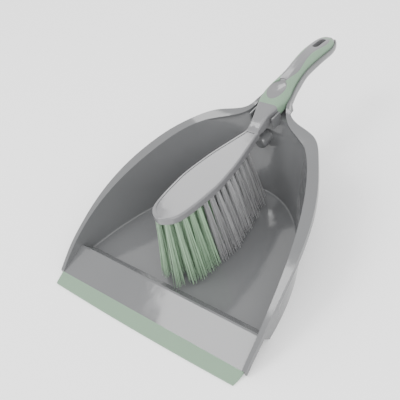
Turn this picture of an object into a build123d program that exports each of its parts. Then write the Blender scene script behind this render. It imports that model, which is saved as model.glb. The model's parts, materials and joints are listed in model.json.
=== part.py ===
from build123d import *
import math
import os

# All sizes are in millimetres.  While the pieces are modelled, y = 0 is the front edge of the lip and z = 0
# is the surface that the pan stands on.  Everything is moved to the set's centre when it is written.

# Pan
pan_width = 231.0        # outside of the walls at floor level, at the front
wall = 2.2               # wall thickness of the pan
floor_thickness = 2.4
lip_depth = 13.0         # front to back of the rubber lip
lip_bow = 1.5            # how far the lip's middle stands in front of its corners
lip_tip = 1.1            # thickness of the lip's front edge
lip_overlap = 0.4        # how much thicker than the apron the lip is where they meet
lip_foot = 7.0           # flat strip under the lip's front edge
lip_taper = 2.2          # how far each front corner of the lip is cut back
tongue_depth = 7.0       # apron tongue held inside the lip
tongue_thickness = 1.1
tongue_cover = 0.8       # rubber over the tongue
tongue_side = 4.0        # rubber beside each end of the tongue
apron_depth = 31.0       # lip to the ridge
apron_start = 4.6        # height of the apron's top face at the lip
ridge_height = 14.0
ridge_land = 2.0         # level strip along the ridge
step_run = 10.0          # ridge to the floor behind it
wall_flare = 7.0         # how far each side wall leans out over the pan's full height
back_lean = 43.0         # how far the back wall leans out over the same height
shoulder_y = 20.0        # where the straight sides turn into the rounded back
rim_width = 2.4          # flange beside the front of the walls
flange_width = 8.7       # flange round the back
flange_thickness = 2.2
flange_skirt = 3.0       # down-turned edge of the flange
floor_fillet = 1.6       # inside, where the floor meets the wall

# Brush
nose_gap = 12.0          # floor in front of the brush's nose
head_length = 140.0
head_width = 42.4
head_thickness = 6.8
head_tilt = 3.6          # degrees by which the bristle block rises towards its nose
head_edge = 1.6          # rounding of its top edge
head_bead = 2.6          # width of the raised bead round its top
head_recess = 0.6        # depth of its top face inside the bead
neck_length = 32.0       # bristle block to the green collar
grip_length = 119.0      # collar to the end of the handle
bristle_length = 64.0    # below the bristle block, at the neck
tip_clearance = 0.5      # bristle tips above the pan's floor
grip_skin = 1.6          # thickness of the green overmould
collar_length = 6.0      # collar in front of the thumb pad
pad_length = 25.0        # thumb pad
pad_width = 19.0
pad_dish = 0.9           # depth of the thumb pad's hollow
grip_end = 4.0           # grey rim behind the overmould
slot_length = 20.0       # hanging slot in the brush's handle
slot_width = 7.0
slot_from_end = 19.0     # slot's middle to the handle's end
slot_margin = 1.2        # grey rim round the slot

# Tufts
tuft_pitch = 8.4         # along each row
hole_spacing = 6.4       # least distance between two rows' holes
tuft_back_margin = 19.0  # last tuft to the neck
tuft_hole = 4.8          # diameter of the blind hole
tuft_clearance = 0.2
hole_depth = 5.0
tuft_tip = 8.0           # diameter at the tips
tip_spread = 0.6         # how much further apart the rows are at their tips
nose_fan = 11.5          # how far the first tufts' tips lean forwards
tail_fan = 3.0           # how far the last tufts' tips lean backwards
green_tufts = 5          # tufts of the first colour in each row
edge_margin = 4.4        # hole's middle to the edge of the bristle block
anchor_wire = 0.6
anchor_height = 1.4
anchor_overhang = 0.4    # each end of the anchor bites this far past its hole

# Nesting of the brush in the pan's handle
nest_clearance = 0.6
end_clearance = 1.2
hang_hole = 7.0          # round hole through the trough
throat_drop = 4.2        # throat's floor above the underside of the bristle block
arm_thickness = 2.0
arm_length = 13.0
arm_height = 12.0
arm_gap = 0.8
arm_round = 0.7
rest_radius = 7.0
rest_drop = 14.0         # neck rest's middle below the bristle block
rest_from_throat = 28.0  # neck rest's front to the throat
rib_thickness = 1.8      # small ribs under the apron
rib_length = 12.0

# Stations along the set
ridge_y = lip_depth + apron_depth
floor_y = ridge_y + step_run
nose_y = floor_y + nose_gap
neck_y = nose_y + head_length
collar_y = neck_y + neck_length
brush_end_y = collar_y + grip_length
throat_y = collar_y + 4.0
slot_y = brush_end_y - slot_from_end
pad_y = collar_y + collar_length + pad_length / 2
trough_end_y = brush_end_y + end_clearance + wall
overall_length = trough_end_y + lip_bow

# Levels
head_bottom = floor_thickness + tip_clearance + bristle_length
throat_floor = head_bottom + throat_drop
rim_back = head_bottom + 7.5
pan_top = head_bottom + 13.0
trough_end_rim = head_bottom + 19.5

# Plan of the pan
floor_half = pan_width / 2
floor_back = throat_y - 40.0
top_half = floor_half + wall_flare
top_back = floor_back + back_lean

# Margins by which a cutting or trimming block runs past what it cuts
past = 30.0

# The brush's handle: share of the way from the neck's start to the handle's end, half width, the bottom and
# top above the bristle block's underside, and the rounding of the section's corners.
handle_sections = [
    (0.00, 7.6, 0.0, 6.8, 1.6),
    (0.06, 7.0, 0.4, 10.2, 2.0),
    (0.13, 8.2, 2.4, 15.4, 2.4),
    (0.20, 11.0, 5.0, 19.0, 3.4),
    (0.27, 13.9, 5.4, 22.4, 6.4),
    (0.335, 13.9, 7.3, 25.1, 7.6),
    (0.42, 11.6, 10.7, 27.4, 7.6),
    (0.52, 9.7, 13.5, 29.0, 7.0),
    (0.62, 9.6, 16.2, 30.2, 6.5),
    (0.73, 10.9, 17.0, 30.4, 6.2),
    (0.84, 11.4, 15.9, 28.7, 6.0),
    (0.92, 10.8, 15.0, 27.0, 5.6),
    (0.97, 8.6, 15.2, 25.4, 4.6),
    (1.00, 5.6, 16.2, 23.8, 3.4),
]
grip_section = 4         # the first section inside the pan's trough
nest_station = 0.3       # share of the handle at which the trough's mouth is measured

# The bristle block's plan: share of its length from the nose, share of its half width.
head_outline = [(0.02, 0.38), (0.065, 0.67), (0.135, 0.82), (0.21, 0.90), (0.32, 0.965), (0.43, 0.995),
                (0.53, 0.945), (0.635, 0.86), (0.745, 0.735), (0.85, 0.575), (0.95, 0.425)]

# The grey strip on top of the handle: share of the way from the pad's middle to the grip's end, half width.
strip_outline = [(0.0, 3.0), (0.15, 4.6), (0.28, 7.2), (0.42, 6.6), (0.56, 5.6), (0.68, 6.2), (0.80, 8.2),
                 (0.90, 8.0), (0.97, 5.4)]


def level(share, low, high):
    """The value that lies this share of the way from low to high."""
    return low + share * (high - low)


def read_points(points, at):
    """The value at one place, read between the points of a broken line."""
    for near, far in zip(points, points[1:]):
        if at <= far[0]:
            part = (at - near[0]) / (far[0] - near[0])
            return [level(part, low, high) for low, high in zip(near[1:], far[1:])]
    return list(points[-1][1:])


def side_polygon(points, half_width):
    """A prism across the pan from the corners of its side profile, each given as (y, z)."""
    outline = Polyline([(0, y, z) for y, z in points], close=True)
    return extrude(make_face(outline.edges()), half_width, both=True)


def pan_outline(half_width, back, front):
    """Plan outline of the pan: straight front and sides, and half an ellipse behind."""
    return make_face([
        Line((-half_width, front), (half_width, front)),
        Line((half_width, front), (half_width, shoulder_y)),
        EllipticalCenterArc((0, shoulder_y), half_width, back - shoulder_y, start_angle=0, arc_size=180),
        Line((-half_width, shoulder_y), (-half_width, front)),
    ])


def pan_block(inset, bottom, front):
    """The leaning block between the pan's floor and its full height, moved in by inset."""
    share = bottom / pan_top
    half = level(share, floor_half, top_half) - inset
    back = level(share, floor_back, top_back) - inset
    low = pan_outline(half, back, front)
    high = pan_outline(top_half - inset, top_back - inset, front)
    return loft([Pos(0, 0, bottom) * low, Pos(0, 0, pan_top) * high], ruled=True)


def pan_space():
    """The space inside the walls, rounded where the floor meets them."""
    block = pan_block(wall, floor_thickness, -past)
    low_edges = block.edges().filter_by(lambda e: e.bounding_box().max.Z < floor_thickness + 0.01)
    back_edge = low_edges.sort_by(Axis.Y)[-1]
    sides = low_edges.filter_by(Axis.Y)
    return fillet([back_edge] + list(sides), floor_fillet)


def wall_depth(height):
    """How far back the outside of the back wall stands at a height."""
    return level(height / pan_top, floor_back, top_back)


def handle_y(share):
    """Station of a share of the brush's neck and handle."""
    return level(share, neck_y, brush_end_y)


def trough_half():
    """Half width of the space in the trough's mouth."""
    return read_points(handle_sections, nest_station)[0] + nest_clearance


def rim_points():
    """Side view of the pan's top edge, from the wall's front tip to the end of the trough."""
    climb = [(0.12, 0.309), (0.295, 0.557), (0.47, 0.725), (0.65, 0.859), (0.82, 0.953)]
    points = [(lip_depth - 0.5, apron_start + 0.6)]
    points += [(level(share, lip_depth, throat_y), up * rim_back) for share, up in climb]
    points.append((throat_y, rim_back + 3.5))
    for share, half, low, high, corner in handle_sections[grip_section:-2]:
        points.append((handle_y(share), head_bottom + (low + high) / 2))
    points.append((trough_end_y + 1, trough_end_rim))
    return points


def rim_edge(drop=0.0):
    return Spline([(0, y, z - drop) for y, z in rim_points()])


def above_rim():
    """Everything above the pan's top edge."""
    start, *_, end = rim_points()
    top = pan_top + 2 * past
    outline = [
        rim_edge(),
        Line((0, *end), (0, end[0], top)),
        Line((0, end[0], top), (0, -past, top)),
        Line((0, -past, top), (0, -past, start[1])),
        Line((0, -past, start[1]), (0, *start)),
    ]
    return extrude(make_face(outline), top_half + past, both=True)


def rim_strip(depth):
    """A strip this deep that follows the top edge."""
    start, *_, end = rim_points()
    outline = [
        rim_edge(),
        Line((0, *end), (0, end[0], end[1] - depth)),
        rim_edge(depth),
        Line((0, start[0], start[1] - depth), (0, *start)),
    ]
    return extrude(make_face(outline), top_half + past, both=True)


def trough_section(y, half_width, low, high, corner):
    """A U-shaped section of the trough: flat top, rounded bottom corners."""
    corners = [(-half_width, high), (-half_width, low), (half_width, low), (half_width, high)]
    outline = Polyline(corners, close=True)
    face = make_face(outline.edges())
    bottom = face.vertices().filter_by(lambda v: v.Y < low + 0.01)
    face = fillet(bottom, corner)
    return Plane(origin=(0, y, 0), x_dir=(1, 0, 0), z_dir=(0, -1, 0)) * face


def trough(grow, high):
    """A U-shaped channel that stands outside the brush's neck and handle by grow."""
    sections = []
    for share, half, low, top, corner in handle_sections:
        rounding = min(corner, 5.0) + grow / 2
        bottom = head_bottom + low - grow
        sections.append(trough_section(handle_y(share), half + grow, bottom, high, rounding))
    share, half, low, top, corner = handle_sections[-1]
    end_y = brush_end_y + end_clearance + grow - nest_clearance
    sections.append(trough_section(end_y, half * 0.8 + grow / 2, head_bottom + low, high, corner))
    return loft(sections)


def rim_place(angle, out):
    """Plan place on the rim: degrees round the back from the shoulder, and how far outside the wall."""
    turn = math.radians(angle)
    share = read_points(rim_points(), shoulder_y + (top_back - shoulder_y) * math.sin(turn))[0] / pan_top
    across = level(share, floor_half, top_half)
    deep = level(share, floor_back, top_back) - shoulder_y
    size = math.hypot(math.cos(turn) / across, math.sin(turn) / deep)
    x = across * math.cos(turn) + out * math.cos(turn) / across / size
    y = shoulder_y + deep * math.sin(turn) + out * math.sin(turn) / deep / size
    return x, y


def flange_reach(angle):
    """Width of the flange: narrow beside the front, full width round the back."""
    share = min(1.0, max(0.0, (angle - 6.0) / 30.0))
    return level(share * share * (3 - 2 * share), rim_width, flange_width)


def mirrored_face(right):
    """A face across the pan from the smooth right-hand edge of its plan."""
    left = [(-x, y) for x, y in reversed(right)]
    return make_face([Spline(*right), Line(right[-1], left[0]), Spline(*left), Line(left[-1], right[0])])


def flange_outline(inset):
    """Plan of the flange's outer edge, which runs into the trough's sides."""
    half = trough_half() + wall
    front = floor_half + rim_width - inset
    right = [(front, lip_depth), (front + 0.4, shoulder_y)]
    right += [rim_place(angle, flange_reach(angle) - inset) for angle in (5, 10, 17, 25, 34, 44, 54, 63)]
    right.append((half + 10.0 - inset, throat_y - 3.0))
    right.append((half + 0.6, throat_y + 13.0))
    return mirrored_face(right)


def throat_curve(out):
    """Right-hand edge of the throat: from the wall's inner face, inwards and back to the trough's side."""
    half = trough_half() + out
    return [(half + 39.0, throat_y - 28.5), (half + 23.0, throat_y - 18.5), (half + 10.5, throat_y - 9.0),
            (half + 3.4, throat_y + 1.0), (half, throat_y + 14.0)]


def rim_opening():
    """Plan of the opening inside the flange: the walls' inner face, then the throat."""
    front = floor_half - wall / 2
    right = [(front, -past), (front + 0.4, shoulder_y)]
    right += [rim_place(angle, -wall / 2) for angle in (5, 12, 20, 29, 38, 47, 55)]
    return mirrored_face(right + throat_curve(0))


def throat(out, low, high):
    """The space over the throat's floor, grown outwards by out."""
    plan = mirrored_face([(trough_half() + 42.0, throat_y - 32.0)] + throat_curve(out))
    return Pos(0, 0, low) * extrude(plan, high - low)


def make_flange():
    """Flat flange round the rim, with its outer edge turned down."""
    high = pan_top + past
    opening = extrude(rim_opening(), high) + trough(nest_clearance, high)
    outer = extrude(flange_outline(0), high)
    flat = outer & rim_strip(flange_thickness)
    skirt = (outer - extrude(flange_outline(wall), high)) & rim_strip(flange_thickness + flange_skirt)
    return flat + skirt - opening


def under_apron():
    """The hollow under the apron and the step behind it."""
    front = apron_start - wall
    ridge = ridge_height - wall
    return side_polygon([(-past, -1), (-past, front), (lip_depth, front), (ridge_y - ridge_land - 0.5, ridge),
                         (ridge_y - 0.5, ridge), (floor_y - wall, 0), (floor_y - wall, -1)], pan_width)


def over_apron():
    """Everything under the top face of the apron, its ridge and the step behind it."""
    return side_polygon([(-past, -1), (-past, apron_start), (lip_depth, apron_start),
                         (ridge_y - ridge_land + 0.5, ridge_height), (ridge_y + 0.5, ridge_height),
                         (floor_y, floor_thickness), (floor_y + 9, -1)], pan_width)


def make_pan():
    """The pan's moulding: floor, apron, walls, flange, throat and trough handle."""
    high = pan_top + past
    body = pan_block(0, 0, lip_depth)
    body += trough(nest_clearance + wall, high)
    body += throat(wall, throat_floor - wall, high)
    body -= pan_space() - over_apron()
    body -= trough(nest_clearance, high + 5)
    body -= throat(0, throat_floor, high + 5)
    body -= under_apron()
    body -= above_rim()
    body += [make_flange(), make_tongue(), make_neck_rest(), *make_arms(), *make_ribs()]
    return body - Pos(0, slot_y, head_bottom) * Cylinder(hang_hole / 2, 2 * past)


def lip_top(y):
    """Height of the lip's sloped top face."""
    return level(y / lip_depth, lip_tip, apron_start)


def make_tongue():
    """The apron's front tongue, which the lip is moulded round."""
    front = lip_depth - tongue_depth
    back = lip_depth + 1
    top = [(front, lip_top(front) - tongue_cover), (back, lip_top(back) - tongue_cover)]
    under = [(y, z - tongue_thickness) for y, z in reversed(top)]
    return side_polygon(top + under, floor_half - tongue_side)


def make_neck_rest():
    """Rounded rest on the back wall, under the brush's neck."""
    z = head_bottom - rest_drop
    front = throat_y - rest_from_throat
    reach = wall_depth(z) - wall / 2 - front
    peg = fillet(Cylinder(rest_radius, reach).edges().sort_by(Axis.Z)[-1], rest_radius * 0.5)
    return Pos(0, front + reach / 2, z) * Rot(90, 0, 0) * peg


def make_arms():
    """Two small snap arms that stand beside the brush's neck at the throat."""
    back = throat_y - 4.0
    half = read_points(handle_sections, (back - neck_y) / (brush_end_y - neck_y))[0]
    arms = []
    for side in (-1, 1):
        arm = Box(arm_thickness, arm_length, arm_height, align=(Align.CENTER, Align.MAX, Align.MIN))
        arm = fillet(arm.edges().filter_by(Axis.Y).group_by(Axis.Z)[-1], arm_round)
        arms.append(Pos(side * (half + arm_gap + arm_thickness / 2), back, head_bottom + 1) * arm)
    return arms


def make_ribs():
    """Two small ribs that hold the apron up near its corners."""
    back = ridge_y - 4.0
    front = back - rib_length
    ribs = []
    for side in (-1, 1):
        rib = side_polygon([(front, 4.0), (front, 7.6), (back, 11.6), (back, 2.0), (back - 4, 2.0)],
                           rib_thickness / 2)
        ribs.append(Pos(side * (floor_half - 7), 0, 0) * rib)
    return ribs


def make_lip():
    """Soft wedge-shaped strip on the apron's front edge, flared at its corners."""
    back = floor_half - 0.4
    front = back - lip_taper
    plan = make_face([
        ThreePointArc((-front, 0), (0, -lip_bow), (front, 0)),
        Line((front, 0), (back, lip_depth)),
        Line((back, lip_depth), (-back, lip_depth)),
        Line((-back, lip_depth), (-front, 0)),
    ])
    wedge = side_polygon([(-lip_bow - 1, 0), (-lip_bow - 1, lip_tip), (lip_depth, apron_start),
                          (lip_depth, apron_start - wall - lip_overlap), (lip_foot, 0)], pan_width)
    return (extrude(plan, pan_top) & wedge) - make_tongue()


def head_place():
    """The bristle block's own place: y runs back from its nose to the neck at 0, z up from its underside."""
    return Pos(0, neck_y, head_bottom) * Rot(-head_tilt, 0, 0)


def head_plan(inset, back):
    """Leaf-shaped plan of the bristle block, moved in by inset, from its nose to a straight end at back."""
    nose = inset - head_length
    right = [(out * head_width / 2 - inset, level(share, nose, -inset)) for share, out in head_outline]
    half = handle_sections[0][1] - inset
    right.append((half, -inset))
    left = [(-x, y) for x, y in reversed(right)]
    side = Spline(*left, (0, inset - head_length), *right, tangents=[(-0.1, -1), (-0.1, 1)])
    neck = Polyline((half, -inset), (half, back), (-half, back), (-half, -inset))
    return make_face([side, *neck.edges()])


def make_head():
    """The bristle block: flat underneath, rounded along its top edge, and hollowed inside a raised bead."""
    block = extrude(head_plan(0, head_thickness / 3), head_thickness)
    top_edges = block.faces().sort_by(Axis.Z)[-1].edges().filter_by(GeomType.BSPLINE)
    block = fillet(top_edges, head_edge)
    hollow = Pos(0, 0, head_thickness - head_recess) * extrude(head_plan(head_bead, 0), past, dir=(0, 0, 1))
    return head_place() * (block - hollow)


def handle_loft(inset):
    """The brush's neck and handle, moved in by inset."""
    sections = []
    for share, half, low, high, corner in handle_sections:
        y = min(handle_y(share), brush_end_y - inset)
        plane = Plane(origin=(0, y, head_bottom + (low + high) / 2), x_dir=(1, 0, 0), z_dir=(0, -1, 0))
        rounding = max(corner - inset, 0.5)
        sections.append(plane * RectangleRounded(2 * (half - inset), high - low - 2 * inset, rounding))
    return loft(sections)


def pad_top():
    """Height of the handle's top at the middle of the thumb pad."""
    return head_bottom + read_points(handle_sections, (pad_y - neck_y) / (brush_end_y - neck_y))[2]


def make_dish():
    """The thumb pad's shallow hollow, as the solid to be cut away."""
    egg = scale(Sphere(1), by=(pad_width / 2 + 2, pad_length / 2 + 2, 3 * pad_dish))
    return Pos(0, pad_y, pad_top() + 2 * pad_dish) * egg


def strip_plan():
    """Plan of the grey part of the handle's top: the thumb pad and the strip behind it."""
    end = brush_end_y - grip_end
    right = [(half, level(share, pad_y, end)) for share, half in strip_outline]
    strip = mirrored_face(right)
    return strip + Pos(0, pad_y) * Ellipse(pad_width / 2, pad_length / 2)


def make_grip():
    """The soft green overmould: a thin skin let into the handle, leaving the thumb pad and top strip open."""
    skin = handle_loft(0) - handle_loft(grip_skin)
    length = brush_end_y - collar_y - grip_end
    align = (Align.CENTER, Align.MIN, Align.CENTER)
    skin &= Pos(0, collar_y, head_bottom) * Box(4 * past, length, 4 * past, align=align)
    skin -= Pos(0, 0, pad_top() - 12) * extrude(strip_plan(), past)
    return skin - hanging_slot(slot_margin)


def hanging_slot(grow=0.0):
    """The long hole near the handle's end."""
    plan = Rot(0, 0, 90) * SlotOverall(slot_length + 2 * grow, slot_width + 2 * grow)
    return Pos(0, slot_y, head_bottom - 5) * extrude(plan, 2 * past)


def head_half(y):
    """Half width of the bristle block at a place along it, read from its outline's points."""
    stops = [(0.0, 0.1)] + head_outline + [(1.0, 2 * handle_sections[0][1] / head_width)]
    return read_points(stops, 1 + y / head_length)[0] * head_width / 2


def tuft_row(side):
    """Places of one row of tufts: side runs from -1, the left edge, through 0 to 1, the right edge."""
    row = []
    y = edge_margin - head_length
    while y < -tuft_back_margin:
        x = side * (head_half(y) - edge_margin)
        if head_half(y) > edge_margin and (not row or math.dist(row[-1], (x, y)) >= tuft_pitch):
            row.append((x, y))
        y += 0.1
    return row


def tuft_places():
    """Root of each tuft on the bristle block, row by row from the left; the edge rows are set out first."""
    rows = {}
    taken = []
    for side in (-1, 1, -0.5, 0.5, 0):
        row = tuft_row(side)
        row = [place for place in row if all(math.dist(place, other) > hole_spacing for other in taken)]
        taken += row
        rows[side] = row
    return [rows[side] for side in sorted(rows)]


def tuft_tip_place(x, y):
    """Where a tuft ends near the floor: rows spread apart and the ends fan out."""
    root = (head_place() * Pos(x, y, 0)).position
    lean = level(1 + y / head_length, -nose_fan, tail_fan)
    return x * (1 + tip_spread), root.Y + lean, floor_thickness + tip_clearance


def make_tuft(x, y):
    """One tuft: a round bundle that widens towards its tips."""
    neck = tuft_hole / 2 - tuft_clearance
    top = Plane(head_place() * Pos(x, y, hole_depth - anchor_height)) * Circle(neck)
    mouth = Plane(head_place() * Pos(x, y, -0.5)) * Circle(neck)
    tip = Plane(origin=tuft_tip_place(x, y)) * Circle(tuft_tip / 2)
    return loft([top, mouth], ruled=True) + loft([mouth, tip], ruled=True)


def make_hole(x, y):
    hole = Cylinder(tuft_hole / 2, hole_depth, align=(Align.CENTER, Align.CENTER, Align.MIN))
    return head_place() * Pos(x, y, 0) * hole


def make_anchor(x, y):
    """Flat wire driven across the hole, over the folded tuft."""
    wire = Box(tuft_hole + 2 * anchor_overhang, anchor_wire, anchor_height,
               align=(Align.CENTER, Align.CENTER, Align.MIN))
    return head_place() * Pos(x, y, hole_depth - anchor_height) * wire


def make_brush(grip, places):
    """The brush's moulding: block, neck and handle, with the grip's bed, the tuft holes and the slot."""
    body = make_head() + handle_loft(0) - make_dish() - grip - hanging_slot()
    holes = [make_hole(x, y) for row in places for x, y in row]
    anchors = [make_anchor(x, y) for row in places for x, y in row]
    return body - holes - anchors


def write(solids, name):
    """Move a piece, or a group of pieces, to the set's own origin and write it."""
    placed = [Pos(0, lip_bow - overall_length / 2, 0) * solid for solid in solids]
    if placed:
        export_step(placed[0] if len(placed) == 1 else Compound(children=placed), f"parts/{name}.step")


def main():
    os.makedirs("parts", exist_ok=True)
    places = tuft_places()
    grip = make_grip()
    write([make_pan()], "pan_body")
    write([make_lip()], "rubber_lip")
    write([make_brush(grip, places)], "brush_body")
    write([grip], "grip_overmould")
    for number, row in enumerate(places, start=1):
        write([make_tuft(x, y) for x, y in row[:green_tufts]], f"tufts_green_{number}")
        write([make_tuft(x, y) for x, y in row[green_tufts:]], f"tufts_grey_{number}")
        write([make_anchor(x, y) for x, y in row], f"anchors_{number}")
    print("overall length", overall_length, "tufts in each row", [len(row) for row in places])


main()
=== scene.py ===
import json
import math
import random

import bpy
from mathutils import Matrix, Vector


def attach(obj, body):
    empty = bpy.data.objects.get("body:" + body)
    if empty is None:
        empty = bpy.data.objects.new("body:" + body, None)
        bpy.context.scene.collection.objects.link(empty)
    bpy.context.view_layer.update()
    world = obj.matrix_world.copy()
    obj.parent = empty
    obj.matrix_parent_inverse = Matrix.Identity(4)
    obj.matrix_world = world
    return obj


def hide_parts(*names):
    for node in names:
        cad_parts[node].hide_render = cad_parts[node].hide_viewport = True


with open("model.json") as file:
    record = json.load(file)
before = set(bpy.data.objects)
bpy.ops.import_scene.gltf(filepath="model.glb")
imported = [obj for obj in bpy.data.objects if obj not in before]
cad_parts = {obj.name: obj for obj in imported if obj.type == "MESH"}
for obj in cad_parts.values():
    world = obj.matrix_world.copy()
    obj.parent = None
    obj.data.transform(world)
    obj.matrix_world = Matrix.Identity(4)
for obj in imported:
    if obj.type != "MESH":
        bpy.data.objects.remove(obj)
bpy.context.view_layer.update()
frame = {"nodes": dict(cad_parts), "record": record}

nodes = frame["nodes"]

MM = 0.001
FLOOR_TOP = 2.4 * MM    # top of the pan's floor, which the bristles stop short of

# Finishes: base colours of the moulded plastics and the soft rubber
PAN_GREY = (0.108, 0.110, 0.113)
BRUSH_GREY = (0.140, 0.140, 0.145)
SOFT_GREEN = (0.145, 0.228, 0.155)
BRISTLE_GREEN = (0.24, 0.36, 0.24)
BRISTLE_GREY = (0.27, 0.27, 0.275)
WIRE_STEEL = (0.55, 0.55, 0.57)
FLOOR_WHITE = (0.93, 0.93, 0.93)

SINK_DEPTH = 0.5 * MM   # unevenness of the mouldings, which breaks up the edge of a reflection


# ---------------------------------------------------------------- shader maths

class Value:
    """One socket of a material, so that shader maths reads as ordinary arithmetic."""

    def __init__(self, finish, socket):
        self.finish = finish
        self.socket = socket

    def maths(self, operation, first, second, clamp=False):
        settings = {"operation": operation, "use_clamp": clamp}
        return self.finish.node("ShaderNodeMath", settings, {0: first, 1: second})

    def __add__(self, other):
        return self.maths("ADD", self, other)

    def __sub__(self, other):
        return self.maths("SUBTRACT", self, other)

    def __mul__(self, other):
        return self.maths("MULTIPLY", self, other)

    def __rsub__(self, other):
        return self.maths("SUBTRACT", other, self)

    __radd__ = __add__
    __rmul__ = __mul__

    def clamped(self):
        """The same value, held between 0 and 1."""
        return self.maths("ADD", self, 0.0, clamp=True)


class Finish:
    """A material and the nodes that it is made of."""

    def __init__(self, name):
        self.material = bpy.data.materials.new(name)
        self.material.use_nodes = True
        self.tree = self.material.node_tree
        self.tree.nodes.clear()
        self.shader = self.tree.nodes.new("ShaderNodeBsdfPrincipled")
        output = self.tree.nodes.new("ShaderNodeOutputMaterial")
        self.tree.links.new(self.shader.outputs[0], output.inputs[0])

    def node(self, kind, settings=None, inputs=None, output=0):
        """Add any node: its settings first, then the values or links of its sockets."""
        made = self.tree.nodes.new(kind)
        for name, setting in (settings or {}).items():
            setattr(made, name, setting)
        for name, value in (inputs or {}).items():
            if isinstance(value, Value):
                self.tree.links.new(value.socket, made.inputs[name])
            else:
                made.inputs[name].default_value = value
        return Value(self, made.outputs[output])

    def feed(self, **inputs):
        """Set or link the shader's own sockets, with spaces written as underscores."""
        for name, value in inputs.items():
            socket = self.shader.inputs[name.replace("_", " ")]
            if isinstance(value, Value):
                self.tree.links.new(value.socket, socket)
            else:
                socket.default_value = value

    def place(self):
        """Object coordinates, in metres."""
        return self.node("ShaderNodeTexCoord", output="Object")

    def noise(self, scale, detail=3.0, roughness=0.5, place=None):
        """Cloudy noise from 0 to 1, with scale as its cells to the metre."""
        return self.node("ShaderNodeTexNoise", {}, {
            "Vector": place or self.place(), "Scale": scale, "Detail": detail, "Roughness": roughness})

    def stretched(self, scale):
        """Object coordinates with each axis scaled, so that a noise is drawn out along one of them."""
        return self.node("ShaderNodeMapping", {}, {"Vector": self.place(), "Scale": scale})

    def blend(self, share, first, second):
        """Mix two colours."""
        inputs = {"Factor": share, "A": first, "B": second}
        return self.node("ShaderNodeMix", {"data_type": "RGBA"}, inputs, "Result")

    def bump(self, height, distance, over=None):
        """Raise the surface by a height in metres, on top of another bump when one is given."""
        inputs = {"Height": height, "Distance": distance}
        if over:
            inputs["Normal"] = over
        return self.node("ShaderNodeBump", {}, inputs)


def tint(colour, factor):
    """A lighter or darker version of a colour, with its alpha."""
    return tuple(min(1.0, channel * factor) for channel in colour) + (1.0,)


def moulded_plastic(name, colour, roughness, grain):
    """Injection-moulded plastic: shallow sink marks, faint flow marks, fine grain and thin rub marks."""
    finish = Finish(name)
    flow = finish.noise(9.0, 4.0, 0.55)
    grain_height = finish.noise(2600.0, 2.0, 0.6)
    rubbed = finish.noise(38.0, 6.0, 0.7, finish.stretched((1.0, 6.0, 1.0)))
    marks = ((rubbed - 0.60) * 7.0).clamped()
    sunk = finish.bump(finish.noise(22.0), SINK_DEPTH)
    finish.feed(
        Base_Color=finish.blend(flow, tint(colour, 0.93), tint(colour, 1.07)),
        Roughness=flow * 0.08 + marks * 0.14 + (roughness - 0.04),
        Normal=finish.bump(grain_height + rubbed * 0.5, grain, over=sunk),
        IOR=1.53,
    )
    return finish.material


def soft_rubber(name, colour):
    """Thermoplastic rubber: matt, a little dusty, with a fine pebble."""
    finish = Finish(name)
    dust = finish.noise(60.0, 5.0, 0.65)
    pebble = finish.noise(1500.0, 3.0, 0.55)
    broad = finish.noise(14.0, 2.0)
    finish.feed(
        Base_Color=finish.blend(dust * 0.6 + broad * 0.4, tint(colour, 0.9), tint(colour, 1.1)),
        Roughness=dust * 0.16 + 0.52,
        Normal=finish.bump(pebble, 2.2e-5),
        Sheen_Weight=0.12,
        IOR=1.47,
    )
    return finish.material


def bristle_plastic(name, colour):
    """Drawn filament: each strand has a shade of its own."""
    finish = Finish(name)
    strand = finish.node("ShaderNodeNewGeometry", output="Random Per Island")
    along = finish.noise(120.0, 3.0)
    shade = strand * 0.85 + along * 0.3 - 0.08
    finish.feed(
        Base_Color=finish.blend(shade.clamped(), tint(colour, 0.5), tint(colour, 1.5)),
        Roughness=along * 0.12 + 0.3,
        Normal=finish.bump(along, 1e-5),
        IOR=1.5,
    )
    return finish.material


def wire_steel(name):
    """Flat steel wire with drawing marks along its length."""
    finish = Finish(name)
    drawn = finish.noise(1800.0, 4.0, 0.6, finish.stretched((0.1, 1.0, 1.0)))
    finish.feed(
        Base_Color=finish.blend(drawn, tint(WIRE_STEEL, 0.8), tint(WIRE_STEEL, 1.15)),
        Metallic=1.0,
        Roughness=drawn * 0.15 + 0.25,
    )
    return finish.material


def studio_floor(name):
    """Matt white board."""
    finish = Finish(name)
    cloudy = finish.noise(1.2, 2.0)
    finish.feed(
        Base_Color=finish.blend(cloudy, tint(FLOOR_WHITE, 0.99), tint(FLOOR_WHITE, 1.01)),
        Roughness=0.85,
    )
    return finish.material


finishes = {
    "pan_grey": moulded_plastic("pan_grey_plastic", PAN_GREY, 0.10, 6e-6),
    "brush_grey": moulded_plastic("brush_grey_plastic", BRUSH_GREY, 0.09, 4e-6),
    "lip_green": soft_rubber("lip_green_rubber", SOFT_GREEN),
    "grip_green": soft_rubber("grip_green_rubber", SOFT_GREEN),
    "bristle_green": bristle_plastic("green_filament", BRISTLE_GREEN),
    "bristle_grey": bristle_plastic("grey_filament", BRISTLE_GREY),
    "anchor_steel": wire_steel("anchor_wire"),
}
slots = {entry["node"]: entry["material_slot"] for entry in frame["record"]["subparts"]}


def give_finish(piece, material):
    """Make a material the only one of a piece."""
    piece.data.materials.clear()
    piece.data.materials.append(material)


# ---------------------------------------------------------------- bristles

def islands(mesh):
    """The separate solids of a mesh, as lists of corner positions."""
    parent = list(range(len(mesh.vertices)))

    def root(i):
        while parent[i] != i:
            parent[i] = parent[parent[i]]
            i = parent[i]
        return i

    by_place = {}
    for vertex in mesh.vertices:
        key = tuple(round(c, 6) for c in vertex.co)
        parent[vertex.index] = by_place.setdefault(key, vertex.index)
    for edge in mesh.edges:
        parent[root(edge.vertices[0])] = root(edge.vertices[1])
    groups = {}
    for vertex in mesh.vertices:
        groups.setdefault(root(vertex.index), []).append(vertex.co.copy())
    return list(groups.values())


CAP_DEPTH = 1.2 * MM        # a tuft's end leans by less than this


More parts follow.
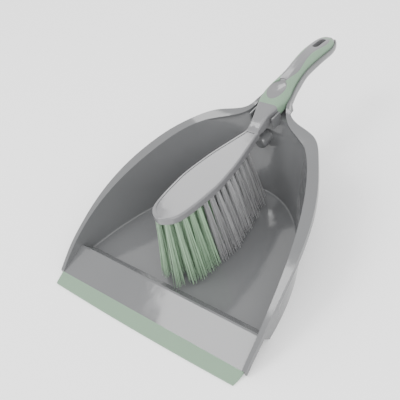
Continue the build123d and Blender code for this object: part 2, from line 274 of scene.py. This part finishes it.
def cap_of(points, height):
    """Centre and radius of the end of a tuft whose corners lie near one height."""
    ring = [p for p in points if abs(p.z - height) < CAP_DEPTH]
    centre = sum(ring, Vector()) / len(ring)
    flat = [math.hypot(p.x - centre.x, p.y - centre.y) for p in ring]
    return centre, max(flat)


def tuft_ends(points):
    """Root and tip of one tuft, each as a centre and a radius."""
    heights = [p.z for p in points]
    return cap_of(points, max(heights)), cap_of(points, min(heights))


FILAMENTS = 34              # in each tuft
FILAMENT_RADIUS = 0.29 * MM
FILAMENT_STEPS = 7          # rings along each filament
SIDES = 4
FILAMENT_FACING = Vector((0.3, 1.0, 0.1))
GOLDEN_ANGLE = 2.39996      # radians, which packs the filaments evenly
FRAY = 1.22                 # how much wider the loose ends spread than the tuft itself
LOOSENESS = 0.5 * MM        # how unevenly the ends lie
STRAY_SHARE = 0.06          # share of filaments that stick out
TIP_GAP = 0.3 * MM          # least height of a tip above the pan's floor


def add_filament(verts, faces, start, end, bow, radius):
    """One bristle: a thin four-sided rod that bows a little and narrows at its tip."""
    along = (end - start).normalized()
    side = along.cross(FILAMENT_FACING).normalized()
    other = along.cross(side)
    first = len(verts)
    for step in range(FILAMENT_STEPS + 1):
        share = step / FILAMENT_STEPS
        centre = start.lerp(end, share) + bow * math.sin(math.pi * share)
        size = radius * (1.0 - 0.5 * share ** 4)
        for turn in range(SIDES):
            angle = math.tau / SIDES * turn
            verts.append(centre + (side * math.cos(angle) + other * math.sin(angle)) * size)
    for step in range(FILAMENT_STEPS):
        for turn in range(SIDES):
            a = first + step * SIDES + turn
            b = first + step * SIDES + (turn + 1) % SIDES
            faces.append((a, b, b + SIDES, a + SIDES))
    faces.append(tuple(first + turn for turn in reversed(range(SIDES))))
    last = first + FILAMENT_STEPS * SIDES
    faces.append(tuple(last + turn for turn in range(SIDES)))


def filament_run(root, root_radius, tip, tip_radius, number, chance):
    """Start, end and bow of one bristle of a tuft: packed at the root, loose and uneven at the tip."""
    out = math.sqrt((number + 0.5) / FILAMENTS)
    turn = number * GOLDEN_ANGLE
    step = Vector((math.cos(turn), math.sin(turn), 0.0)) * out
    start = root + step * (root_radius - FILAMENT_RADIUS)
    loose = Vector((chance.gauss(0, LOOSENESS), chance.gauss(0, LOOSENESS), 0))
    end = tip + step * tip_radius * FRAY + loose
    if chance.random() < STRAY_SHARE:
        end += step.normalized() * chance.uniform(1.0, 2.5) * MM
    shorter = min(0.12, abs(chance.gauss(0, 0.022)))
    end = start.lerp(end, 1.0 - shorter)
    end.z = max(end.z, FLOOR_TOP + TIP_GAP)
    bow = (step - step.normalized() * 0.3) * chance.uniform(-0.9, 0.5) * MM
    return start, end, bow


def bristle_row(node, chance):
    """The tufts of one CAD node as real filaments."""
    verts = []
    faces = []
    for points in islands(nodes[node].data):
        (root, root_radius), (tip, tip_radius) = tuft_ends(points)
        sideways = (chance.gauss(0, 0.7), chance.gauss(0, 0.7))
        tip += Vector((*sideways, abs(chance.gauss(0, 1.2)))) * MM
        for number in range(FILAMENTS):
            start, end, bow = filament_run(root, root_radius, tip, tip_radius, number, chance)
            radius = FILAMENT_RADIUS * chance.uniform(0.85, 1.1)
            add_filament(verts, faces, start, end, bow, radius)
    mesh = bpy.data.meshes.new(node + "_filaments")
    mesh.from_pydata(verts, [], faces)
    mesh.update()
    piece = bpy.data.objects.new(node + "_filaments", mesh)
    bpy.context.scene.collection.objects.link(piece)
    give_finish(piece, finishes[slots[node]])
    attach(piece, "brush")
    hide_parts(node)


def make_bristles():
    """Filaments for every row; each row is seeded by its own name."""
    for node in sorted(nodes):
        if node.startswith("tufts_"):
            bristle_row(node, random.Random(node))


# ---------------------------------------------------------------- CAD pieces that keep their own shape

def dress_cad_pieces():
    """Finish and smooth shading for the mouldings, the lip, the grip and the anchors."""
    for name, node in nodes.items():
        give_finish(node, finishes[slots[name]])
        for polygon in node.data.polygons:
            polygon.use_smooth = True


# ---------------------------------------------------------------- studio

def look_from(azimuth, elevation, roll):
    """Rotation of a camera: azimuth turns it about +Z, elevation tips it down, roll turns the picture."""
    turn = Matrix.Rotation(math.radians(azimuth), 4, "Z")
    tip = Matrix.Rotation(math.radians(90.0 - elevation), 4, "X")
    return turn @ tip @ Matrix.Rotation(math.radians(roll), 4, "Z")


def make_camera():
    """A camera in front, to the right and above, with the picture turned a little."""
    data = bpy.data.cameras.new("camera")
    data.sensor_width = 36.0
    data.lens = 59.4
    camera = bpy.data.objects.new("camera", data)
    bpy.context.scene.collection.objects.link(camera)
    camera.matrix_world = Matrix.Translation((0.362, -0.3506, 0.4648)) @ look_from(51.32, 41.22, -18.33)
    bpy.context.scene.camera = camera


def make_light(name, place, target, size, power):
    """A rectangular softbox that faces its target."""
    data = bpy.data.lights.new(name, "AREA")
    data.shape = "RECTANGLE"
    data.size, data.size_y = size
    data.energy = power
    light = bpy.data.objects.new(name, data)
    bpy.context.scene.collection.objects.link(light)
    aim = Vector(target) - Vector(place)
    light.matrix_world = Matrix.Translation(place) @ aim.to_track_quat("-Z", "Y").to_matrix().to_4x4()


def make_studio():
    """White floor, even white surroundings and three softboxes; two of them show in the glossy tops."""
    mesh = bpy.data.meshes.new("floor")
    reach = 6.0
    corners = [(-reach, -reach, 0), (reach, -reach, 0), (reach, reach, 0), (-reach, reach, 0)]
    mesh.from_pydata(corners, [], [(0, 1, 2, 3)])
    floor = bpy.data.objects.new("floor", mesh)
    bpy.context.scene.collection.objects.link(floor)
    give_finish(floor, studio_floor("studio_floor"))
    world = bpy.data.worlds.new("studio")
    world.use_nodes = True
    surroundings = world.node_tree.nodes["Background"]
    surroundings.inputs["Color"].default_value = (1.0, 1.0, 1.0, 1.0)
    surroundings.inputs["Strength"].default_value = 1.9
    bpy.context.scene.world = world
    make_light("apron softbox", (-0.49, -0.36, 1.13), (0.05, -0.15, 0.01), (0.42, 0.5), 6.5)
    make_light("head softbox", (-1.02, 0.95, 1.08), (0.0, -0.09, 0.08), (0.36, 0.42), 2.6)
    make_light("fill", (1.2, -0.8, 1.1), (0, 0, 0.03), (1.1, 1.0), 20.0)


dress_cad_pieces()
make_bristles()
make_camera()
make_studio()
